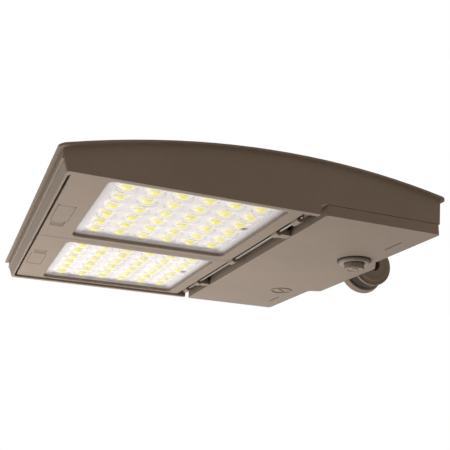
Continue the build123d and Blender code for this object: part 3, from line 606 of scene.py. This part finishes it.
def collar_piece(material):
    """Flanged bush of the sensor port, with a sloping ribbed edge."""
    def ribs(angle):
        return 1.0 + RIB_DEPTH * math.cos(FLANGE_RIBS * angle)

    shape = bmesh.new()
    centre = place(PORT_X, PORT_Y, PORT_FACE)
    count = FLANGE_RIBS * POINTS_PER_RIB
    inside = [(BUSH_BORE, -BUSH_LENGTH), (BUSH_BORE, -RECESS_DEPTH), (RECESS_RADIUS, -RECESS_DEPTH),
              (RECESS_RADIUS, -0.2), (RECESS_RADIUS + 0.2, 0.0), (FLANGE_FACE_RADIUS, 0.0)]
    edge = [(FLANGE_FACE_RADIUS + 0.5, -0.2), (FLANGE_RADIUS, 0.2 - FLANGE_THICKNESS),
            (FLANGE_RADIUS, -FLANGE_THICKNESS)]
    back = [(THREAD_RADIUS, -FLANGE_THICKNESS), (THREAD_RADIUS, -BUSH_LENGTH), (BUSH_BORE, -BUSH_LENGTH)]
    parts = [revolve(shape, centre, profile, count, outline)
             for profile, outline in ((inside, None), (edge, ribs), (back, None))]
    for first, second in zip(parts, parts[1:]):
        bridge(shape, first[-1], second[0])
    bmesh.ops.remove_doubles(shape, verts=shape.verts, dist=1e-6)
    mesh = finished_mesh("port_collar", shape, False)
    piece = new_piece("port_collar", mesh, material, "door")
    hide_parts("receptacle_ring")


def latch_rim_piece(material):
    """Raised rim round the face of the quarter-turn latch."""
    shape = bmesh.new()
    inner, outer = LATCH_RIM_INNER, LATCH_RIM_OUTER
    profile = [(inner, 0.0), (inner + 0.2, 0.7), (inner + 0.7, LATCH_RIM_HEIGHT),
               (outer - 0.6, LATCH_RIM_HEIGHT), (outer - 0.1, 0.6), (outer, 0.0), (inner, 0.0)]
    revolve(shape, place(LATCH_X, LATCH_Y, DOOR_FACE), profile, LATCH_RIM_SEGMENTS)
    bmesh.ops.remove_doubles(shape, verts=shape.verts, dist=1e-6)
    mesh = finished_mesh("latch_rim", shape, False)
    new_piece("latch_rim", mesh, material, "latch")


def tilt_scale_piece(material):
    """Bare degree ticks on the hub, without figures."""
    shape = bmesh.new()
    for k in range(TICKS):
        angle = math.radians(FIRST_TICK + TICK_STEP * k)
        inner = SHORT_TICK_INNER if k % LONG_TICK_EVERY else LONG_TICK_INNER
        along = Vector((math.cos(angle), 0, -math.sin(angle)))
        aside = Vector((math.sin(angle), 0, math.cos(angle))) * TICK_HALF_WIDTH / 1000
        layers = []
        ends = ((inner, -1), (TICK_OUTER, -1), (TICK_OUTER, 1), (inner, 1))
        for height in (0.0, TICK_HEIGHT):
            middle = place(PIVOT_X, HUB_FACE - height, PIVOT_Z)
            layers.append([shape.verts.new(middle + along * radius / 1000 + aside * way)
                           for radius, way in ends])
        low, high = layers
        shape.faces.new(high)
        shape.faces.new(low)
        bridge(shape, low, high)
    mesh = finished_mesh("tilt_scale", shape, False)
    new_piece("tilt_scale", mesh, material, "fitter")


def dress_nodes():
    """Gives each CAD node its material, and adds the pieces that only this script makes."""
    bronze = powder_coat("bronze_coat", BRONZE)
    set_material(["housing", "cooling_fins", "driver_door", "knuckle_arm", "door_latch"], bronze)
    set_material(both("selector_cover"), bronze)
    set_material(["slip_fitter"], powder_coat("bronze_hub", BRONZE, marks=painted_barrel_shade))
    set_material(both("optic_frame"), powder_coat("bronze_frame", FRAME_BRONZE))
    steel = plain("stainless", "b4b1ab", 0.34, metallic=1.0)
    set_material(["tenon_bolts", "pivot_washer", "pivot_nut", "arm_bolts", "frame_screws"], steel)
    set_material(["driver_screws", "latch_tongue", "latch_nut"] + both("cover_pin"), steel)
    set_material(["pivot_bolt"], plain("dark_bolt", "4a443e", 0.4, metallic=0.7))
    set_material(["hinge_rod"], drawn_steel())
    rubber = plain("black_silicone", "262524", 0.7)
    set_material(["lead_grommets", "door_gasket", "receptacle_gasket"], rubber)
    set_material(both("lens_gasket"), plain("grey_silicone", "b7b0aa", 0.7))
    set_material(both("led_board"), board_coat())
    yellow = phosphor()
    set_material(both("led_chips"), yellow)
    set_material(["led_driver"], plain("driver_case", "c9c9c6", 0.4))
    black = plain("black_plastic", "1c1c1c", 0.45)
    set_material(["terminal_block"] + both("switch_body"), black)
    white = plain("white_plastic", "dededa", 0.4)
    set_material(["surge_protector"] + both("selector_knob"), white)
    grey = powder_coat("grey_plastic", PORT_GREY, roughness=0.45, rounding=0.0002)
    set_material(["receptacle_ring", "receptacle_nut", "receptacle_plug"], grey)
    clear = clear_lens()
    set_material(both("lens"), clear)
    for name, side in SIDES.items():
        lens_piece(name, side, clear)
        blob_piece(name, side, yellow)
    plug_piece(powder_coat("knurled_plastic", KNURLED_GREY, roughness=0.42, rounding=0.0002))
    collar_piece(grey)
    latch_rim_piece(bronze)
    tilt_scale_piece(bronze)


def make_camera():
    """Camera that sees the part as the photograph does."""
    data = bpy.data.cameras.new("camera")
    data.sensor_width = SENSOR_MM
    data.lens = SENSOR_MM * FOCAL_PIXELS / PHOTO_SIZE
    data.clip_start = CLIP_START
    camera = add_object("camera", data)
    camera.location = CAMERA_AT
    camera.rotation_euler = Euler([math.radians(a) for a in CAMERA_TURN], "XYZ")
    bpy.context.scene.camera = camera


def make_floor():
    """Pale floor far below. It takes the shadow, and throws no light back on the underside."""
    half = FLOOR_HALF
    corners = [(x, y, FLOOR_LEVEL) for x, y in ((-half, -half), (half, -half), (half, half), (-half, half))]
    mesh = bpy.data.meshes.new("floor")
    mesh.from_pydata(corners, [], [(0, 1, 2, 3)])
    s = new_shader("pale_floor")
    diffuse = s.add("ShaderNodeBsdfDiffuse", {"Color": FLOOR_COLOUR})
    s.link(diffuse.outputs["BSDF"], s.output.inputs["Surface"])
    mesh.materials.append(s.owner)
    floor = add_object("floor", mesh)
    floor.visible_diffuse = False


def make_world():
    """Weak warm light from all round, behind a background that is seen as plain white."""
    world = bpy.data.worlds.new("studio")
    bpy.context.scene.world = world
    s = Shader(world, "ShaderNodeOutputWorld")
    lighting = s.add("ShaderNodeBackground", {"Color": WORLD_COLOUR, "Strength": WORLD_STRENGTH})
    shown = s.add("ShaderNodeBackground", {"Color": WHITE, "Strength": 1.0})
    rays = s.add("ShaderNodeLightPath").outputs
    seen = s.math("MAXIMUM", rays["Is Camera Ray"], rays["Is Glossy Ray"])
    seen = s.math("MAXIMUM", seen, rays["Is Transmission Ray"])
    s.either(seen, lighting.outputs["Background"], shown.outputs["Background"])


def area_light(name, at, aim, size, watts):
    data = bpy.data.lights.new(name, "AREA")
    data.shape = "SQUARE"
    data.size = size
    data.energy = watts
    lamp = add_object(name, data)
    lamp.location = at
    lamp.rotation_euler = (Vector(aim) - Vector(at)).to_track_quat("-Z", "Y").to_euler()
    lamp.visible_camera = False


def make_lights():
    """Soft lamps below, for the underside, and a sun overhead, for the top and the floor."""
    area_light("under_light", at=(-0.5, 0.48, -1.0), aim=(-0.2, 0.0, -0.1), size=1.2, watts=16.0)
    area_light("edge_light", at=(-0.5, -0.38, -1.25), aim=(-0.3, -0.2, -0.1), size=0.4, watts=8.0)
    area_light("sheen_light", at=(1.0, 2.4, -0.85), aim=(-0.1, 0.0, -0.1), size=1.2, watts=3.5)
    sun = bpy.data.lights.new("overhead_light", "SUN")
    sun.energy = 2.15
    sun.angle = math.radians(30)
    add_object("overhead_light", sun).rotation_euler = (math.radians(-14), math.radians(6), 0.0)


dress_nodes()
make_camera()
make_floor()
make_world()
make_lights()
bpy.context.scene.view_settings.view_transform = "Standard"
